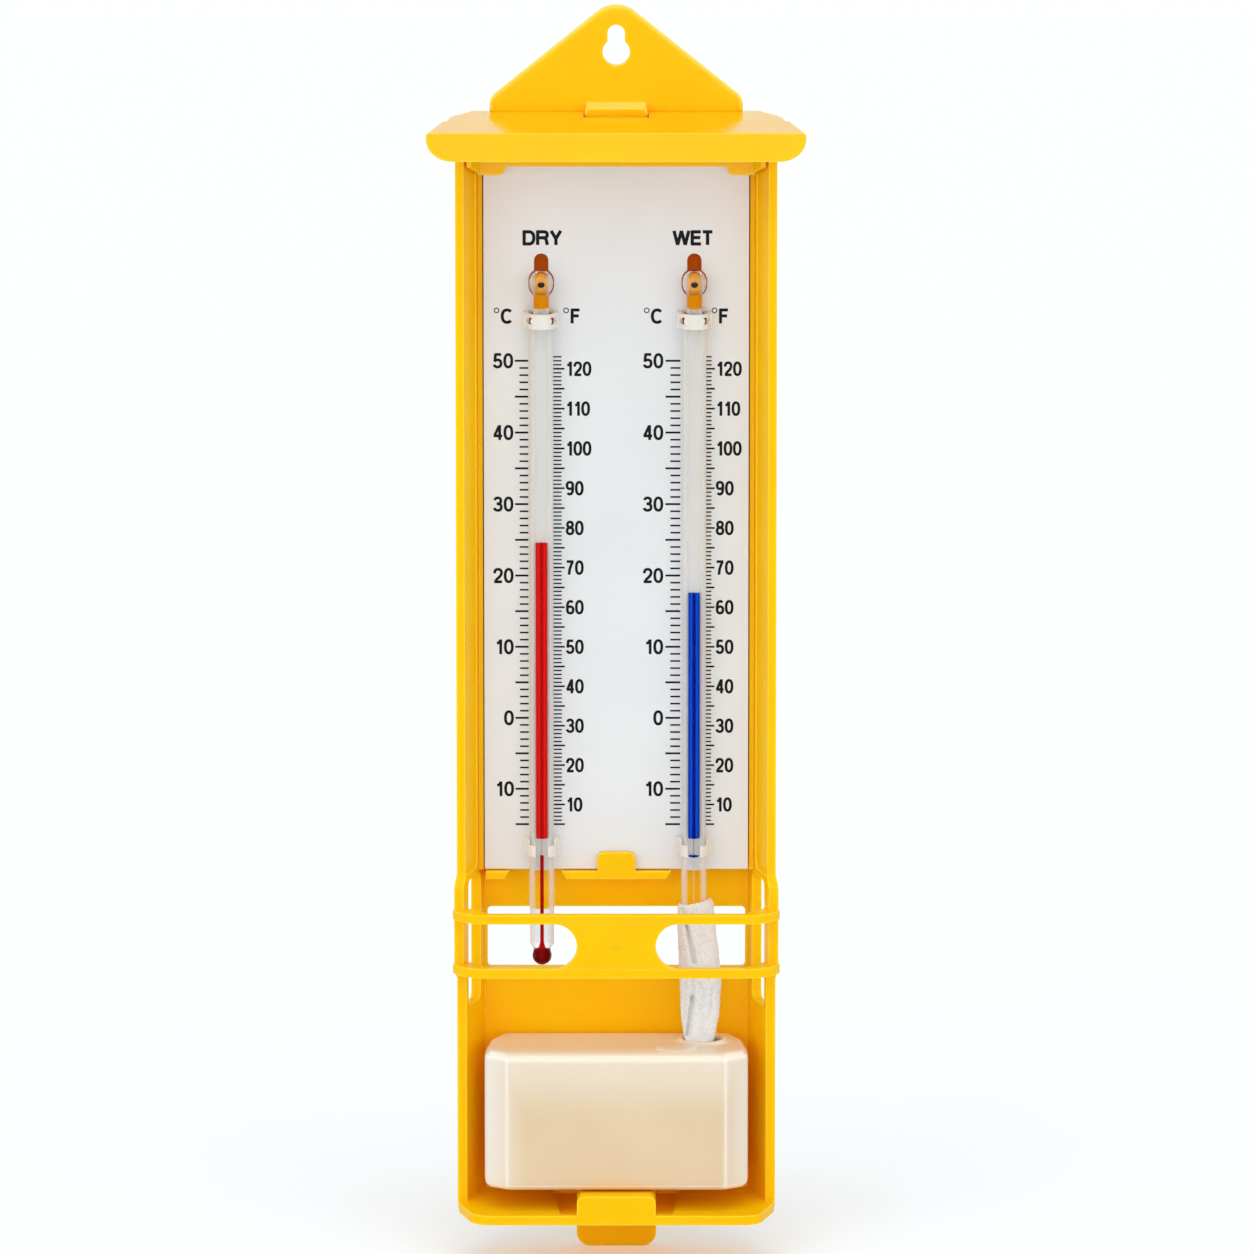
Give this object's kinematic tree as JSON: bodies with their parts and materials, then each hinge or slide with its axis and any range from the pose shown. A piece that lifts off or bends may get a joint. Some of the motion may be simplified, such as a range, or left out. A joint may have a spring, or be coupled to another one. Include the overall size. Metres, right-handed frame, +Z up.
{
  "type": "wet and dry bulb hygrometer",
  "caption": "Wall-hung wet and dry bulb hygrometer: yellow moulded case with push-fit roof, white scale plate, two glass thermometers, bulb guard, water reservoir and cotton wick.",
  "frame": {"origin": "centre of the hanging keyhole's round part, on the flat back face of the case", "axes": "+X to the right as seen from the front, +Y into the wall (the front faces -Y), +Z up"},
  "size_m": [0.0968, 0.037, 0.3276],
  "materials": {
    "case_yellow": "semi-gloss injection-moulded yellow plastic",
    "roof_yellow": "glossy injection-moulded yellow plastic",
    "plate_white": "matt white plastic, printed with the scales",
    "glass": "clear lens-front thermometer glass",
    "enamel": "white enamel fused in the glass",
    "red_spirit": "red thermometer spirit",
    "blue_spirit": "blue thermometer spirit",
    "clip_natural": "natural translucent plastic",
    "reservoir_cream": "translucent cream plastic, blow-moulded",
    "cotton": "white knitted cotton"
  },
  "bodies": {
    "case_body": {"case": "case_yellow", "roof": "roof_yellow", "scale_plate": "plate_white", "dry_glass": "glass", "wet_glass": "glass", "dry_enamel": "enamel", "wet_enamel": "enamel", "dry_bulb_spirit": "red_spirit", "wet_bulb_spirit": "blue_spirit", "dry_column": "red_spirit", "wet_column": "blue_spirit", "dry_upper_clip": "clip_natural", "wet_upper_clip": "clip_natural", "dry_lower_clip": "clip_natural", "wet_lower_clip": "clip_natural", "wick": "cotton"},
    "reservoir_body": {"reservoir": "reservoir_cream"},
    "dry_level_body": {"dry_level": "red_spirit"},
    "wet_level_body": {"wet_level": "blue_spirit"}
  },
  "joints": [
    {"name": "reservoir_slide", "type": "slide", "parent": "case_body", "child": "reservoir_body", "axis": [0, -1, 0], "range_m": [0, 0.03], "deforming": ["wick"]},
    {"name": "dry_reading", "type": "slide", "parent": "case_body", "child": "dry_level_body", "axis": [0, 0, 1], "range_m": [-0.0656, 0.0469], "deforming": ["dry_column"]},
    {"name": "wet_reading", "type": "slide", "parent": "case_body", "child": "wet_level_body", "axis": [0, 0, 1], "range_m": [-0.0525, 0.06], "deforming": ["wet_column"]}
  ]
}
